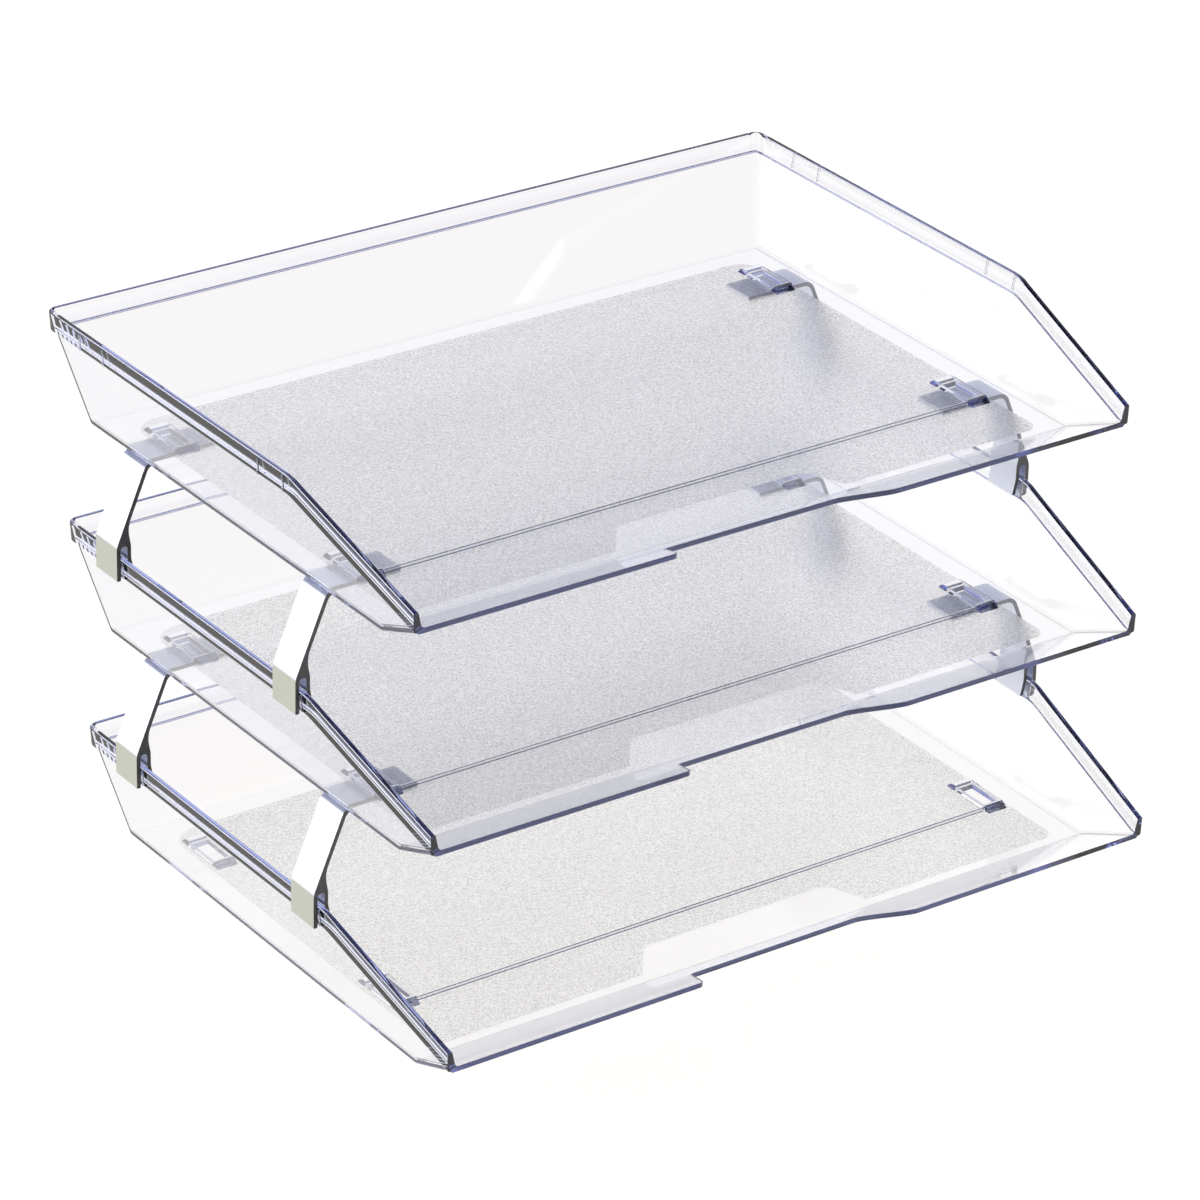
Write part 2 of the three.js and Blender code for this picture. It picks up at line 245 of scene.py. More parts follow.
CAMERA_AZIMUTH = math.radians(-35.62)
CAMERA_ELEVATION = math.radians(27.03)
CAMERA_ROLL = math.radians(1.48)
CAMERA_DISTANCE = 2.4015
CAMERA_LENS = 172.96
CAMERA_AIM_OFFSET = Vector((-0.0095, -0.0090, 0.0008))

# The floor, which glows enough to show as white.
FLOOR_SIZE = 12.0
FLOOR_DROP = 0.0003
FLOOR_GREY = (0.35, 0.35, 0.35, 1.0)
FLOOR_ROUGHNESS = 0.9
FLOOR_GLOW = 1.02
FLOOR_GLOW_TONE = (1.0, 0.975, 0.91, 1.0)

# The world, and the soft glows in it: (direction, inner angle, outer angle, colour), with angles in degrees.
WORLD_COLOUR = (0.03, 0.04, 0.14)
GLOWS = (
    ((-0.68, 0.72, 0.05), 8, 24, (2.8, 2.8, 2.8)),
    ((-0.21, 0.72, 0.64), 6, 22, (0.7, 0.7, 0.7)),
    ((0.52, 0.72, 0.45), 15, 40, (0.80, 0.79, 0.77)),
)

# How often light may bounce, which is often enough to cross six or more clear sheets.
SHEET_BOUNCES = 32
GLOSSY_BOUNCES = 12
TRANSPARENT_BOUNCES = 16

# ------------------------------------------------------------------ mesh helpers


def rounded(corners, steps=ARC_STEPS):
    """A closed chain of corners (x, y, radius) as points, with an arc at each corner that has a radius."""
    points = []
    for i, entry in enumerate(corners):
        corner = Vector(entry[:2])
        radius = entry[2] if len(entry) > 2 else 0
        if radius == 0:
            points.append(corner)
            continue
        back = (Vector(corners[i - 1][:2]) - corner).normalized()
        ahead = (Vector(corners[(i + 1) % len(corners)][:2]) - corner).normalized()
        half_angle = back.angle(ahead) / 2
        centre = corner + (back + ahead).normalized() * radius / math.sin(half_angle)
        start = corner + back * radius / math.tan(half_angle) - centre
        turn = start.angle_signed(corner + ahead * radius / math.tan(half_angle) - centre)
        for k in range(steps + 1):
            points.append(centre + Matrix.Rotation(-turn * k / steps, 2) @ start)
    return points


def object_from(name, mesh_builder):
    """A mesh object named name, in metres, from a bmesh in millimetres."""
    bmesh.ops.recalc_face_normals(mesh_builder, faces=mesh_builder.faces)
    bmesh.ops.transform(mesh_builder, matrix=Matrix.Scale(MM, 4), verts=mesh_builder.verts)
    mesh = bpy.data.meshes.new(name)
    mesh_builder.to_mesh(mesh)
    mesh_builder.free()
    piece = bpy.data.objects.new(name, mesh)
    bpy.context.scene.collection.objects.link(piece)
    return piece


def add_prism(mesh_builder, outline, axis, start, end):
    """Adds a closed prism: a flat outline pushed along the X, Y or Z axis from start to end."""
    place = {
        "x": lambda p, along: (along, p[0], p[1]),
        "y": lambda p, along: (p[0], along, p[1]),
        "z": lambda p, along: (p[0], p[1], along),
    }[axis]
    near = [mesh_builder.verts.new(place(p, start)) for p in outline]
    far = [mesh_builder.verts.new(place(p, end)) for p in outline]
    mesh_builder.faces.new(near)
    mesh_builder.faces.new(far)
    for i, vert in enumerate(near):
        mesh_builder.faces.new((near[i - 1], vert, far[i], far[i - 1]))


def add_box(mesh_builder, low, high):
    """Adds a box between two opposite corners."""
    outline = [(low[0], low[1]), (high[0], low[1]), (high[0], high[1]), (low[0], high[1])]
    add_prism(mesh_builder, outline, "z", low[2], high[2])


def combined(piece, other, operation):
    """Joins another object to a piece, or cuts it out, and throws the other away."""
    modifier = piece.modifiers.new(operation.lower(), "BOOLEAN")
    modifier.operation = operation
    modifier.solver = "EXACT"
    modifier.object = other
    settled(piece)
    bpy.data.objects.remove(other)


def settled(piece):
    """Makes a piece's modifiers permanent."""
    seen = piece.evaluated_get(bpy.context.evaluated_depsgraph_get())
    mesh = bpy.data.meshes.new_from_object(seen)
    mesh.name = piece.name
    piece.modifiers.clear()
    piece.data = mesh


def cleaned(piece):
    """Merges the points that the cuts and bevels leave almost on top of each other."""
    builder = bmesh.new()
    builder.from_mesh(piece.data)
    bmesh.ops.remove_doubles(builder, verts=builder.verts, dist=MERGE_DISTANCE * MM)
    bmesh.ops.dissolve_degenerate(builder, edges=builder.edges, dist=MERGE_DISTANCE * MM)
    builder.to_mesh(piece.data)
    builder.free()


def bevelled(piece, width, angle):
    """Rounds the edges of a piece that turn by more than an angle."""
    bevel = piece.modifiers.new("bevel", "BEVEL")
    bevel.width = width * MM
    bevel.segments = BEVEL_SEGMENTS
    bevel.limit_method = "ANGLE"
    bevel.angle_limit = angle
    bevel.miter_outer = "MITER_ARC"
    bevel.use_clamp_overlap = False
    settled(piece)
    cleaned(piece)


def smoothed(piece):
    """Shades a piece smoothly across its rounded edges, with its flat faces kept flat."""
    for polygon in piece.data.polygons:
        polygon.use_smooth = True
    piece.data.set_sharp_from_angle(angle=SHARP_ANGLE)
    normals = piece.modifiers.new("weighted normals", "WEIGHTED_NORMAL")
    normals.keep_sharp = True
    normals.weight = FLAT_FACE_WEIGHT


# ------------------------------------------------------------------ the tray's wall, as stations and rows


def rim_top(y):
    """The rim's height at y: level, then a rounded bend, then a slope down to the front."""
    if y >= BEND_BACK_Y:
        return RIM_HEIGHT
    if y <= BEND_FRONT_Y:
        return RIM_HEIGHT + RIM_SLOPE * (y - RIM_BEND_Y)
    return RIM_HEIGHT - RIM_BEND_RADIUS + math.sqrt(RIM_BEND_RADIUS ** 2 - (y - BEND_BACK_Y) ** 2)


def arm_stations():
    """The places along one side arm, from the front, each as (outer y, inner y)."""
    ramp = [FRONT_Y + (FLOOR_FRONT - FRONT_Y) * share for share in RAMP_SHARES]
    bend_length = BEND_BACK_Y - BEND_FRONT_Y
    bend = [BEND_FRONT_Y + bend_length * k / ARC_STEPS for k in range(ARC_STEPS + 1)]
    return [(y, y) for y in ramp] + [(FLOOR_FRONT, INNER_FOLD_Y)] + [(y, y) for y in bend]


def arc_pairs(steps):
    """(1 - cosine, sine) round a quarter turn, from (0, 0) to (1, 1)."""
    turns = [math.pi / 2 * k / steps for k in range(steps + 1)]
    return [(1 - math.cos(t), math.sin(t)) for t in turns]


def wall_section(y, inner_y):
    """One cut through a wall, from the underside over the rim to the floor, with every edge rounded.

    Each point is (plane, offset, height, rim top, y): the offset is outwards from the outer plane of the wall
    or of the rim band, which both lean.
    """
    top = rim_top(y)
    lip = top - BAND_HEIGHT
    base = max(0, RAMP_SLOPE * (FLOOR_FRONT - y))
    floor = max(SHEET, SHEET + RAMP_SLOPE * (INNER_FOLD_Y - inner_y))
    fillet = min(FOLD_RADIUS, (lip - base) / 2)
    inner_fillet = min(FOLD_RADIUS, (top - floor) / 3)
    neck = EDGE_RADIUS / 2
    edge = EDGE_RADIUS
    points = []
    for out, up in arc_pairs(ARC_STEPS):
        points.append(("wall", -fillet * (1 - up), base + fillet * out, top, y))
    for out, up in arc_pairs(EDGE_STEPS):
        points.append(("wall", neck * out, lip - neck * (1 - up), top, y))
    for out, up in arc_pairs(EDGE_STEPS):
        points.append(("band", -edge * (1 - up), lip + edge * out, top, y))
    for out, up in arc_pairs(EDGE_STEPS):
        points.append(("band", -edge * out, top - edge * (1 - up), top, y))
    for out, up in arc_pairs(EDGE_STEPS):
        points.append(("wall", -SHEET + edge * (1 - up), top - edge * out, top, y))
    for out, up in arc_pairs(ARC_STEPS):
        points.append(("wall", -SHEET - inner_fillet * out, floor + inner_fillet * (1 - up), top, inner_y))
    return points


def outer_reach(plane, height, top):
    """How far out the wall's or the rim band's outer plane is at a height: (half width, back, radius)."""
    if plane == "wall":
        return FLOOR_HALF_WIDTH + SIDE_DRAFT * height, FLOOR_BACK + BACK_DRAFT * height, WALL_CORNER_RADIUS
    lean = BAND_LEAN * (top - height) / BAND_HEIGHT
    half_width = RIM_HALF_WIDTH - SIDE_DRAFT * (RIM_HEIGHT - top) - lean
    return half_width, RIM_HALF_DEPTH - lean, CORNER_RADIUS


def side_point(side, plane, offset, height, top, y):
    """A point on the wall of one side arm."""
    half_width = outer_reach(plane, height, top)[0]
    return Vector((side * (half_width + offset), y, height))


def corner_point(side, turn, plane, offset, height, top):
    """A point on a back corner; turn goes from 0 at the side wall to a quarter at the back wall."""
    half_width, back, corner_radius = outer_reach(plane, height, top)
    radius = max(corner_radius + offset, EDGE_RADIUS)
    x = half_width + offset - radius + radius * math.cos(turn)
    y = back + offset - radius + radius * math.sin(turn)
    return Vector((side * x, y, height))


def wall_columns():
    """The wall's sections in order round the tray, from the left front end to the right front end."""
    half = []
    back_section = wall_section(0, 0)
    for y, inner_y in arm_stations():
        half.append([("arm", point) for point in wall_section(y, inner_y)])
    for k in range(CORNER_STEPS + 1):
        turn = math.pi / 2 * k / CORNER_STEPS
        half.append([(turn, point) for point in back_section])
    columns = []
    for side, order in ((-1, half), (1, half[::-1])):
        for column in order:
            columns.append([
                side_point(side, *point) if where == "arm" else corner_point(side, where, *point[:4])
                for where, point in column
            ])
    return columns


def frost_outline():
    """The frosted panel's edge, anticlockwise from its front right corner."""
    half_width = FLOOR_HALF_WIDTH - SHEET - FROST_MARGIN
    back = FLOOR_BACK - SHEET - FROST_MARGIN
    return rounded([
        (half_width, FROST_FRONT, FROST_RADIUS / 2),
        (half_width, back, FROST_RADIUS),
        (-half_width, back, FROST_RADIUS),
        (-half_width, FROST_FRONT, FROST_RADIUS / 2),
        (WINDOW_FRONT_LEFT, FROST_FRONT),
        (WINDOW_BACK_LEFT, WINDOW_BACK_Y, WINDOW_RADIUS),
        (WINDOW_BACK_RIGHT, WINDOW_BACK_Y, WINDOW_RADIUS),
        (WINDOW_FRONT_RIGHT, FROST_FRONT),
    ])


def add_floor_top(mesh_builder, rim):
    """Fills the floor inside a rim of vertices, as a frosted panel and four clear strips round it.

    Each strip runs along the rim between two of its corners and back along the panel between the panel's
    points nearest to them.
    """
    panel = [mesh_builder.verts.new((p.x, p.y, SHEET)) for p in frost_outline()]
    mesh_builder.faces.new(panel).material_index = PANEL_SLOT
    back_left = next(i for i, v in enumerate(rim) if v.co.y > FLOOR_BACK - 2 * CORNER_RADIUS)
    back_right = len(rim) - 1 - back_left
    anchors = [0, back_left, back_right, len(rim) - 1]
    partners = [min(range(len(panel)), key=lambda i: (panel[i].co - rim[a].co).length) for a in anchors]
    chains = [rim[a:b + 1] for a, b in zip(anchors, anchors[1:])] + [[rim[-1], rim[0]]]
    for chain, start, end in zip(chains, partners, partners[1:] + partners[:1]):
        step = (start - end) % len(panel)
        inner_edge = [panel[(end + k) % len(panel)] for k in range(step + 1)]
        mesh_builder.faces.new(chain + inner_edge)


def tray_shell():
    """The plain moulding: the wall as a grid, closed by the floor, the ramp and the front edge."""
    builder = bmesh.new()
    columns = [[builder.verts.new(point) for point in column] for column in wall_columns()]
    for left, right in zip(columns, columns[1:]):
        for row in range(len(left) - 1):
            builder.faces.new((left[row], right[row], right[row + 1], left[row + 1]))
    fold = next(i for i, (y, _) in enumerate(arm_stations()) if y == FLOOR_FRONT)
    last = len(columns) - 1
    for row in (0, -1):
        ramp = [columns[i][row] for i in range(fold + 1)]
        ramp += [columns[last - fold + i][row] for i in range(fold + 1)]
        builder.faces.new(ramp)
    builder.faces.new([column[0] for column in columns[fold:last - fold + 1]])
    add_floor_top(builder, [column[-1] for column in columns[fold:last - fold + 1]])
    builder.faces.new(columns[0] + columns[-1][::-1])
    return object_from("tray", builder)


# ------------------------------------------------------------------ the tray's cuts and fittings


def across(side, inner, outer):
    """Two x values in rising order, for a stretch from inner to outer on one side."""
    return sorted((side * inner, side * outer))


def smoothstep(share):
    """0 to 1 along an S-curve that is level at both ends."""
    return share * share * (3 - 2 * share)


def cutout_outline():
    """The finger cut-out: a leaning left end with a rounded tip, a straight run and an S-curve."""
    inner_edge = FRONT_Y + CUTOUT_DEPTH
    width = CUTOUT_RIGHT_TIP - CUTOUT_RUN_END
    tip_start = CUTOUT_LEFT_TIP - 2 * CUTOUT_TIP_RADIUS
    left = rounded([
        (tip_start, FRONT_Y - OVERRUN),
        (tip_start, FRONT_Y - CUTOUT_SKIM),
        (CUTOUT_LEFT_TIP, FRONT_Y - CUTOUT_SKIM, CUTOUT_TIP_RADIUS),
        (CUTOUT_LEFT_CORNER, inner_edge, CUTOUT_RADIUS),
        (CUTOUT_RUN_END, inner_edge),
    ])[:-1]
    s_curve = []
    steps = 3 * ARC_STEPS
    for k in range(steps + 1):
        share = k / steps
        x = CUTOUT_RUN_END + width * share
        y = inner_edge - CUTOUT_DEPTH * smoothstep(share)
        s_curve.append(Vector((x, y)))
    return left + s_curve + [Vector((CUTOUT_RIGHT_TIP, FRONT_Y - OVERRUN))]


def tray_cuts():
    """The finger cut-out and the holes under the bridges."""
    builder = bmesh.new()
    add_prism(builder, cutout_outline(), "z", -OVERRUN, RIM_HEIGHT)
    hole_inner = BRIDGE_INNER_X + BRIDGE_HOLE_MARGIN
    hole_outer = BRIDGE_INNER_X + BRIDGE_WIDTH - BRIDGE_HOLE_MARGIN
    for side in SIDES.values():
        low_x, high_x = across(side, hole_inner, hole_outer)
        for middle in RISER_ROWS.values():
            low = (low_x, middle - BRIDGE_HOLE_LENGTH / 2, -OVERRUN)
            high = (high_x, middle + BRIDGE_HOLE_LENGTH / 2, SHEET + OVERRUN)
            add_box(builder, low, high)
    return object_from("cuts", builder)


def wall_notches():
    """The notches along the side walls' bottom edges, above the risers."""
    builder = bmesh.new()
    for side in SIDES.values():
        notch = [
            (side * (FLOOR_HALF_WIDTH - NOTCH_SIZE - GAP), -GAP),
            (side * (FLOOR_HALF_WIDTH + NOTCH_SIZE), -GAP),
            (side * (FLOOR_HALF_WIDTH + NOTCH_SIZE), 2 * NOTCH_SIZE),
        ]
        for middle in RISER_ROWS.values():
            add_prism(builder, notch, "y", middle - NOTCH_LENGTH / 2, middle + NOTCH_LENGTH / 2)
    return object_from("notches", builder)


def bridge_outline(middle):
    """The strap above one riser's tab, seen from the side, with sloping feet set into the floor."""
    root = SHEET / 2
    reach = BRIDGE_LENGTH / 2
    shoulder = reach - BRIDGE_FOOT_RUN
    span = BRIDGE_SPAN / 2
    half = [(reach, root), (reach, SHEET + GAP), (shoulder, BRIDGE_TOP_Z)]
    hollow = [(span, root), (span, BRIDGE_TOP_Z - BRIDGE_THICKNESS)]
    outline = [(-y, z) for y, z in half] + half[::-1] + hollow + [(-y, z) for y, z in hollow[::-1]]
    return [(middle + y, z) for y, z in outline]


def tray_fittings():
    """The four bridges and the pairs of ribs on the rim that hold each riser in place."""
    builder = bmesh.new()
    root = RIM_HALF_WIDTH - BAND_THICKNESS / 2
    crest = RIM_HALF_WIDTH + RIM_RIB_PROUD
    half_rib = RIM_RIB_THICKNESS / 2
    low = LIP_Z + EDGE_RADIUS
    high = RIM_HEIGHT - EDGE_RADIUS
    for side in SIDES.values():
        rib = [
            (side * (root - BAND_LEAN), low),
            (side * (crest - BAND_LEAN), low),
            (side * crest, high),
            (side * root, high),
        ]
        low_x, high_x = across(side, BRIDGE_INNER_X, BRIDGE_INNER_X + BRIDGE_WIDTH)
        for middle in RISER_ROWS.values():
            add_prism(builder, bridge_outline(middle), "x", low_x, high_x)
            for end in (-1, 1):
                y = middle + TIER_SET_BACK + end * RIM_RIB_SPACING / 2
                add_prism(builder, rib, "y", y - half_rib, y + half_rib)
    return object_from("fittings", builder)


def floor_rib():
    """The low round-topped rib across the floor between the two front bridges."""
    builder = bmesh.new()
    reach = BRIDGE_INNER_X + BRIDGE_WIDTH / 2
    half = FLOOR_RIB_THICKNESS / 2
    crest = SHEET + FLOOR_RIB_HEIGHT
    outline = rounded([
        (FLOOR_RIB_Y - half, SHEET / 2),
        (FLOOR_RIB_Y + half, SHEET / 2),
        (FLOOR_RIB_Y + half, crest, FLOOR_RIB_RADIUS),
        (FLOOR_RIB_Y - half, crest, FLOOR_RIB_RADIUS),
    ])
    add_prism(builder, outline, "x", -reach, reach)
    return object_from("rib", builder)


def mark_frost(piece):
    """Turns the faces kept in the panel's slot into a face attribute, so that the tray has one material."""
    mesh = piece.data
    frosted = mesh.attributes.new(FROST_ATTRIBUTE, "FLOAT", "FACE")
    for polygon in mesh.polygons:
        is_floor = polygon.normal.z > FACING and abs(polygon.center.z - SHEET * MM) < GAP * MM
        frosted.data[polygon.index].value = float(polygon.material_index == PANEL_SLOT and is_floor)
        polygon.material_index = 0


def tray_model(material):
    """One finished tray, in its own frame, with the middle of its underside at the origin."""
    tray = tray_shell()
    for _ in range(PANEL_SLOT + 1):
        tray.data.materials.append(material)
    combined(tray, tray_cuts(), "DIFFERENCE")
    combined(tray, tray_fittings(), "UNION")
    combined(tray, floor_rib(), "UNION")
    bevelled(tray, TRAY_BEVEL, TRAY_BEVEL_ANGLE)
    combined(tray, wall_notches(), "DIFFERENCE")
    cleaned(tray)
    mark_frost(tray)
    smoothed(tray)
    tray.data.materials.clear()
    tray.data.materials.append(material)
    return tray


# ------------------------------------------------------------------ the riser


def riser_outline(side):
    """The riser's section in (x, z), in the frame of the tray that it stands on."""
    outer_x = RIM_HALF_WIDTH + OUTER_CLEARANCE + RISER_THICKNESS
    slot_outer_x = RIM_HALF_WIDTH + OUTER_CLEARANCE
    slot_inner_x = RIM_HALF_WIDTH - BAND_THICKNESS - GAP
    inner_leg_splay = SIDE_DRAFT * (RIM_HEIGHT - INNER_LEG_BOTTOM_Z)
    slot_radius = (slot_outer_x - slot_inner_x) / 2 - GAP / 2
    leg_thickness = RISER_THICKNESS * math.hypot(1, LEG_LEAN)

    def leg_outer(z):
        return outer_x - LEG_LEAN * (z - LEG_SHIN_Z)

    teeth = []
    for k in range(TOOTH_COUNT):
        z = TOOTH_START_Z + k * TOOTH_PITCH
        teeth += [(slot_outer_x, z), (slot_outer_x - TOOTH_DEPTH, z + TOOTH_PITCH / 2)]
    teeth.append((slot_outer_x, TOOTH_START_Z + TOOTH_COUNT * TOOTH_PITCH))
    corners = [
        (TAB_TIP_X, TAB_BOTTOM_Z),
        (TAB_TIP_X, TAB_TOP_Z),
        (leg_outer(TAB_TOP_Z), TAB_TOP_Z, TAB_BEND_RADIUS),
        (outer_x, LEG_SHIN_Z, KNEE_RADIUS),
        (outer_x, OUTER_LEG_BOTTOM_Z, FOOT_RADIUS),
        (slot_outer_x, OUTER_LEG_BOTTOM_Z, FOOT_RADIUS),
        *teeth,
        (slot_outer_x, SLOT_TOP_Z, slot_radius),
        (slot_inner_x, SLOT_TOP_Z, slot_radius),
        (slot_inner_x, RIM_HEIGHT),
        (slot_inner_x - inner_leg_splay, INNER_LEG_BOTTOM_Z),
        (INNER_LEG_INNER_X - inner_leg_splay, INNER_LEG_BOTTOM_Z),
        (INNER_LEG_INNER_X, RIM_HEIGHT),
        (INNER_LEG_INNER_X, INNER_LEG_KNEE_Z),
        (leg_outer(CROTCH_Z) - leg_thickness, CROTCH_Z, CROTCH_RADIUS),
        (leg_outer(TAB_BOTTOM_Z) - leg_thickness, TAB_BOTTOM_Z, TAB_BEND_RADIUS - RISER_THICKNESS),
    ]
    return [(side * p.x, p.y) for p in rounded(corners, 2 * ARC_STEPS)]


def riser_material_slot(polygon):
    """Which of the riser's materials a face has, as a slot."""
    # The end faces get the sheared metal, whose dark tone is partly painted shade.
    if abs(polygon.normal.y) > FACING:
        return SHEARED_AND_SHADED_SLOT
    # The outer face below the knee gets the darker copy of the metal, as painted shade.
    is_outermost = abs(polygon.center.x) > (RIM_HALF_WIDTH + RISER_THICKNESS) * MM
    is_shaded_foot = is_outermost and polygon.center.z < LEG_SHIN_Z * MM
    return SHADED_FOOT_SLOT if is_shaded_foot else ROLLED_SLOT


def riser_model(side, materials):
    """One finished riser: a strip with that outline, its sheared ends in a metal dark partly as painted
    shade, and its foot in a darker copy of the metal as painted shade.
    """
    builder = bmesh.new()
    add_prism(builder, riser_outline(side), "y", -RISER_WIDTH / 2, RISER_WIDTH / 2)
    riser = object_from("riser", builder)
    for material in materials:
        riser.data.materials.append(material)
    for polygon in riser.data.polygons:
        polygon.material_index = riser_material_slot(polygon)
    bevelled(riser, RISER_BEVEL, RISER_BEVEL_ANGLE)
    smoothed(riser)
    return riser


# ------------------------------------------------------------------ materials


def new_material(name):
    """An empty node material and its Principled shader."""
    material = bpy.data.materials.new(name)
    material.use_nodes = True
    return material, material.node_tree.nodes["Principled BSDF"]


def linked(material, kind, inputs=None, **settings):
    """Adds a node to a material or world, with inputs given as values or as sockets to link from."""
    node = material.node_tree.nodes.new(kind)
    for key, value in settings.items():
        setattr(node, key, value)
    for key, value in (inputs or {}).items():
        if isinstance(value, bpy.types.NodeSocket):
            material.node_tree.links.new(value, node.inputs[key])
        else:
            node.inputs[key].default_value = value
    return node


def clear_plastic():
    """Clear polystyrene: blue only through its depth, with the floor panel frosted by a fine grain."""
    material, shader = new_material("clear_polystyrene")
    links = material.node_tree.links
    shader.inputs["Transmission Weight"].default_value = 1.0
    shader.inputs["IOR"].default_value = POLYSTYRENE_IOR
    frosted = linked(material, "ShaderNodeAttribute", attribute_name=FROST_ATTRIBUTE).outputs["Fac"]
    place = linked(material, "ShaderNodeTexCoord").outputs["Object"]
    grain = linked(material, "ShaderNodeTexNoise", {
        "Vector": place,
        "Scale": FROST_GRAIN_SCALE,
        "Detail": GRAIN_DETAIL,
        "Roughness": FROST_GRAIN_ROUGHNESS,
    }).outputs["Fac"]
    varied = linked(material, "ShaderNodeMath", {
        0: grain,
        1: FROST_VARIATION,
        2: FROST_ROUGHNESS - FROST_VARIATION / 2,
    }, operation="MULTIPLY_ADD")
    roughness = linked(material, "ShaderNodeMix", {
        "Factor": frosted,
        "A": POLISH_ROUGHNESS,
        "B": varied.outputs[0],
    }, data_type="FLOAT")
    bump = linked(material, "ShaderNodeBump", {
        "Strength": frosted,
        "Distance": FROST_BUMP * MM,
        "Height": grain,
    })
    speckle = linked(material, "ShaderNodeMapRange", {
        "Value": grain,
        "From Min": GRAIN_START,
        "From Max": GRAIN_FULL,
        "To Max": frosted,
    })
    tone = linked(material, "ShaderNodeMix", {
        "Factor": speckle.outputs["Result"],
        "A": CLEAR_TONE,
        "B": GRAIN_TONE,
    }, data_type="RGBA")
    links.new(tone.outputs["Result"], shader.inputs["Base Color"])
    links.new(roughness.outputs["Result"], shader.inputs["Roughness"])
    links.new(bump.outputs["Normal"], shader.inputs["Normal"])
    depth = linked(material, "ShaderNodeVolumeAbsorption", {
        "Color": EDGE_TINT,
        "Density": EDGE_TINT_DENSITY,
    })
    output = material.node_tree.nodes["Material Output"]
    links.new(depth.outputs["Volume"], output.inputs["Volume"])
    return material


def rolled_metal(name, tone):
    """Satin aluminium with fine rolling marks along the strip."""
    material, shader = new_material(name)
    links = material.node_tree.links
    shader.inputs["Base Color"].default_value = tone
    shader.inputs["Metallic"].default_value = 1.0
    place = linked(material, "ShaderNodeTexCoord").outputs["Object"]
    stretch = linked(material, "ShaderNodeMapping", {"Vector": place, "Scale": MARK_SCALE})
    marks = linked(material, "ShaderNodeTexNoise", {
        "Vector": stretch.outputs["Vector"],
        "Scale": 1.0,
        "Detail": MARK_DETAIL,
    }).outputs["Fac"]
    roughness = linked(material, "ShaderNodeMapRange", {
        "Value": marks,
        "To Min": MARK_ROUGHNESS_MIN,
        "To Max": MARK_ROUGHNESS_MAX,
    })
    bump = linked(material, "ShaderNodeBump", {
        "Strength": MARK_BUMP_STRENGTH,
        "Distance": MARK_BUMP * MM,
        "Height": marks,
    })
    links.new(roughness.outputs["Result"], shader.inputs["Roughness"])
    links.new(bump.outputs["Normal"], shader.inputs["Normal"])
    return material


def sheared_and_shaded_metal():
    """The riser's cut ends, rougher than its faces, and darker partly as cut metal and partly as painted
    shade.
    """
    material, shader = new_material("sheared_and_shaded_aluminium")
    shader.inputs["Metallic"].default_value = 1.0
    shader.inputs["Roughness"].default_value = SHEARED_ROUGHNESS
    place = linked(material, "ShaderNodeTexCoord").outputs["Object"]
    grain = linked(material, "ShaderNodeTexNoise", {
        "Vector": place,
        "Scale": SHEARED_GRAIN_SCALE,
        "Detail": GRAIN_DETAIL,
    })
    tone = linked(material, "ShaderNodeMix", {
        "Factor": grain.outputs["Fac"],
        "A": SHEARED_AND_SHADED_DARK,
        "B": SHEARED_AND_SHADED_LIGHT,
    }, data_type="RGBA")
    material.node_tree.links.new(tone.outputs["Result"], shader.inputs["Base Color"])
    return material


# ------------------------------------------------------------------ the assembly


def placed(model, name, body, node, place):
    """A copy of a model's mesh, standing in for a CAD node and riding on its body."""
    piece = bpy.data.objects.new(name, model.data)
    for modifier in model.modifiers:
        copy = piece.modifiers.new(modifier.name, modifier.type)
        copy.keep_sharp = modifier.keep_sharp
        copy.weight = modifier.weight
    bpy.context.scene.collection.objects.link(piece)
    piece.location = Vector(place) * MM
    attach(piece, body)
    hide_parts(node)
    return piece


def build_stack():
    """The three trays and eight risers, each in the place of its CAD node."""
    tray = tray_model(clear_plastic())
    riser_materials = [
        rolled_metal("satin_aluminium", RISER_GREY),
        # The sheared ends' dark tone is partly painted shade.
        sheared_and_shaded_metal(),
        # The foot's darker tone is painted shade on the same metal.
        rolled_metal("shaded_foot_aluminium", SHADED_FOOT_GREY),
    ]
    risers = {name: riser_model(side, riser_materials) for name, side in SIDES.items()}
    for level, tier in enumerate(TIERS):
        y = (level - 1) * TIER_SET_BACK
        z = level * TIER_PITCH
        placed(tray, f"{tier}_tray", f"{tier}_tier", f"tray_{tier}", (0, y, z))
        if level == len(RISER_LEVELS):
            continue
        height = RISER_LEVELS[level]
        for row, middle in RISER_ROWS.items():
            for side_name, model in risers.items():
                node = f"riser_{height}_{row}_{side_name}"
                place = (0, y + middle + TIER_SET_BACK, z)
                placed(model, f"{height}_riser_{row}_{side_name}", f"{tier}_tier", node, place)
    for model in (tray, *risers.values()):
        bpy.data.objects.remove(model)


# ------------------------------------------------------------------ the studio


def add_camera(centre):
    """The camera at the front left, turned a little about its line of sight."""
    towards = Vector((
        math.sin(CAMERA_AZIMUTH) * math.cos(CAMERA_ELEVATION),
        -math.cos(CAMERA_AZIMUTH) * math.cos(CAMERA_ELEVATION),
        math.sin(CAMERA_ELEVATION),
    ))
    data = bpy.data.cameras.new("camera")
    data.lens = CAMERA_LENS
    data.clip_end = FLOOR_SIZE
    camera = bpy.data.objects.new("camera", data)
    bpy.context.scene.collection.objects.link(camera)
    turn = towards.to_track_quat("Z", "Y").to_matrix().to_4x4() @ Matrix.Rotation(CAMERA_ROLL, 4, "Z")
    place = centre + CAMERA_AIM_OFFSET + towards * CAMERA_DISTANCE
    camera.matrix_world = Matrix.Translation(place) @ turn
    bpy.context.scene.camera = camera


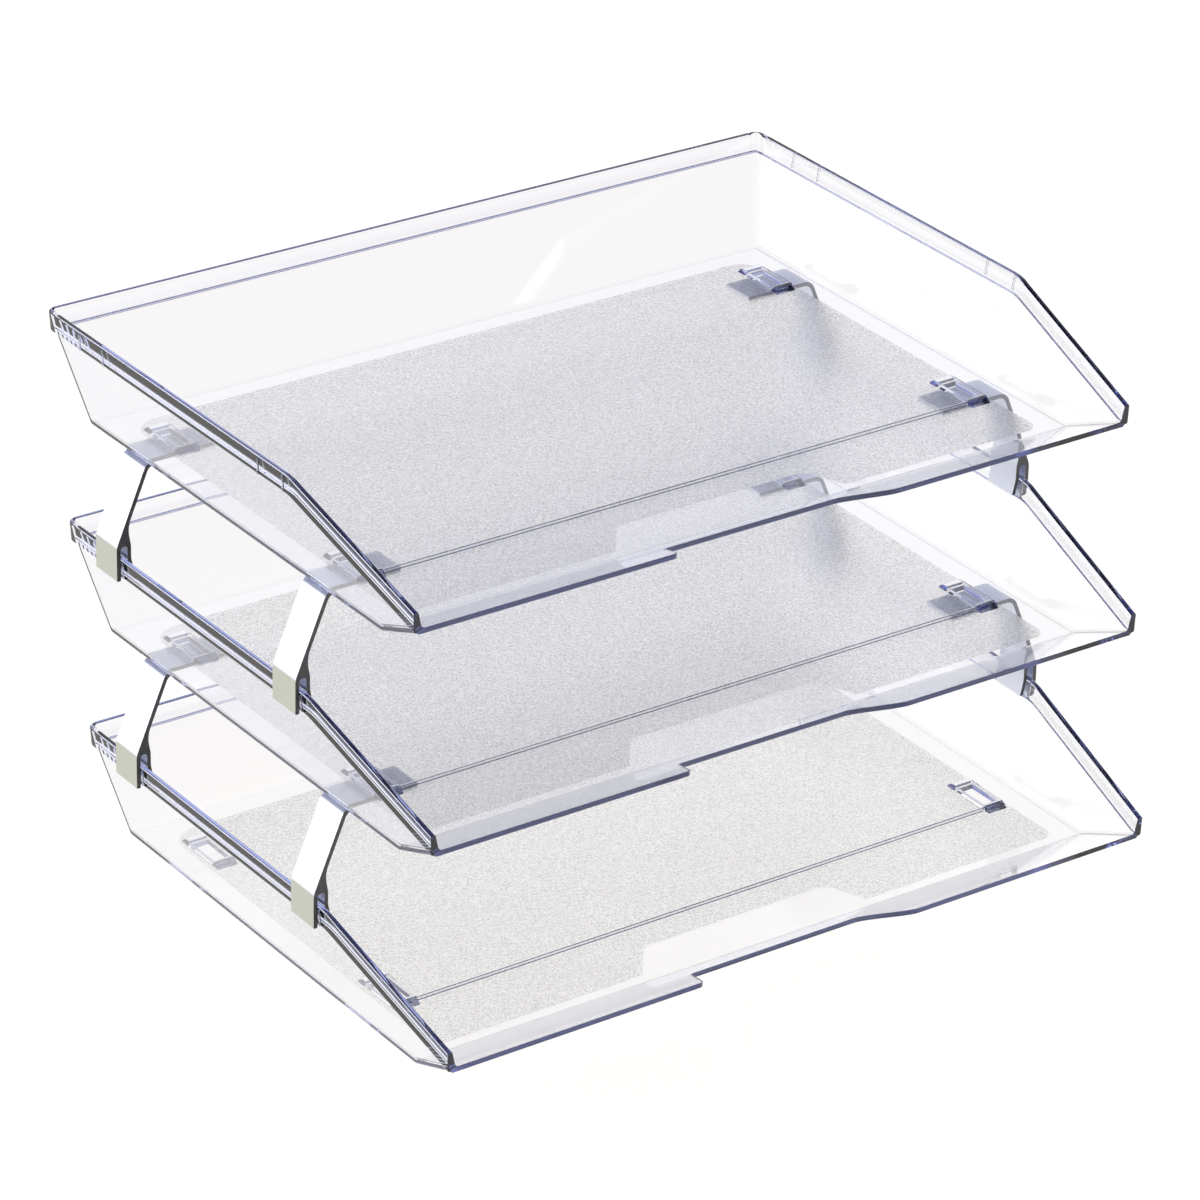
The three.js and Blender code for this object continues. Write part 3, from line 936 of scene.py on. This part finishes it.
def add_stage():
    """A plain white floor, lit a little from below like a light table."""
    builder = bmesh.new()
    bmesh.ops.create_grid(builder, x_segments=1, y_segments=1, size=FLOOR_SIZE / 2)
    mesh = bpy.data.meshes.new("floor")
    builder.to_mesh(mesh)
    builder.free()
    floor = bpy.data.objects.new("floor", mesh)
    floor.location.z = -FLOOR_DROP
    bpy.context.scene.collection.objects.link(floor)
    material, shader = new_material("white_floor")
    shader.inputs["Base Color"].default_value = FLOOR_GREY
    shader.inputs["Roughness"].default_value = FLOOR_ROUGHNESS
    shader.inputs["Emission Color"].default_value = FLOOR_GLOW_TONE
    shader.inputs["Emission Strength"].default_value = FLOOR_GLOW
    mesh.materials.append(material)


def add_light():
    """A dim world with the broad soft glows in it, each fading from its inner to its outer angle."""
    world = bpy.data.worlds.new("studio")
    world.use_nodes = True
    background = world.node_tree.nodes["Background"]
    direction = linked(world, "ShaderNodeTexCoord").outputs["Generated"]
    total = WORLD_COLOUR
    for toward, inner, outer, colour in GLOWS:
        facing = linked(world, "ShaderNodeVectorMath", {
            0: direction,
            1: Vector(toward).normalized(),
        }, operation="DOT_PRODUCT")
        share = linked(world, "ShaderNodeMapRange", {
            "Value": facing.outputs["Value"],
            "From Min": math.cos(math.radians(outer)),
            "From Max": math.cos(math.radians(inner)),
        }, interpolation_type="SMOOTHSTEP")
        glow = linked(world, "ShaderNodeVectorMath", {
            0: colour,
            "Scale": share.outputs["Result"],
        }, operation="SCALE")
        brighter = linked(world, "ShaderNodeVectorMath", {
            0: total,
            1: glow.outputs["Vector"],
        }, operation="ADD")
        total = brighter.outputs["Vector"]
    world.node_tree.links.new(total, background.inputs["Color"])
    bpy.context.scene.world = world


def set_rendering():
    """Plain colours, and enough bounces for clear sheets behind clear sheets."""
    scene = bpy.context.scene
    scene.view_settings.view_transform = "Standard"
    scene.cycles.max_bounces = SHEET_BOUNCES
    scene.cycles.transmission_bounces = SHEET_BOUNCES
    scene.cycles.glossy_bounces = GLOSSY_BOUNCES
    scene.cycles.transparent_max_bounces = TRANSPARENT_BOUNCES


build_stack()
centre = (Vector(cad_bounds[0]) + Vector(cad_bounds[1])) / 2
add_camera(centre)
add_stage()
add_light()
set_rendering()
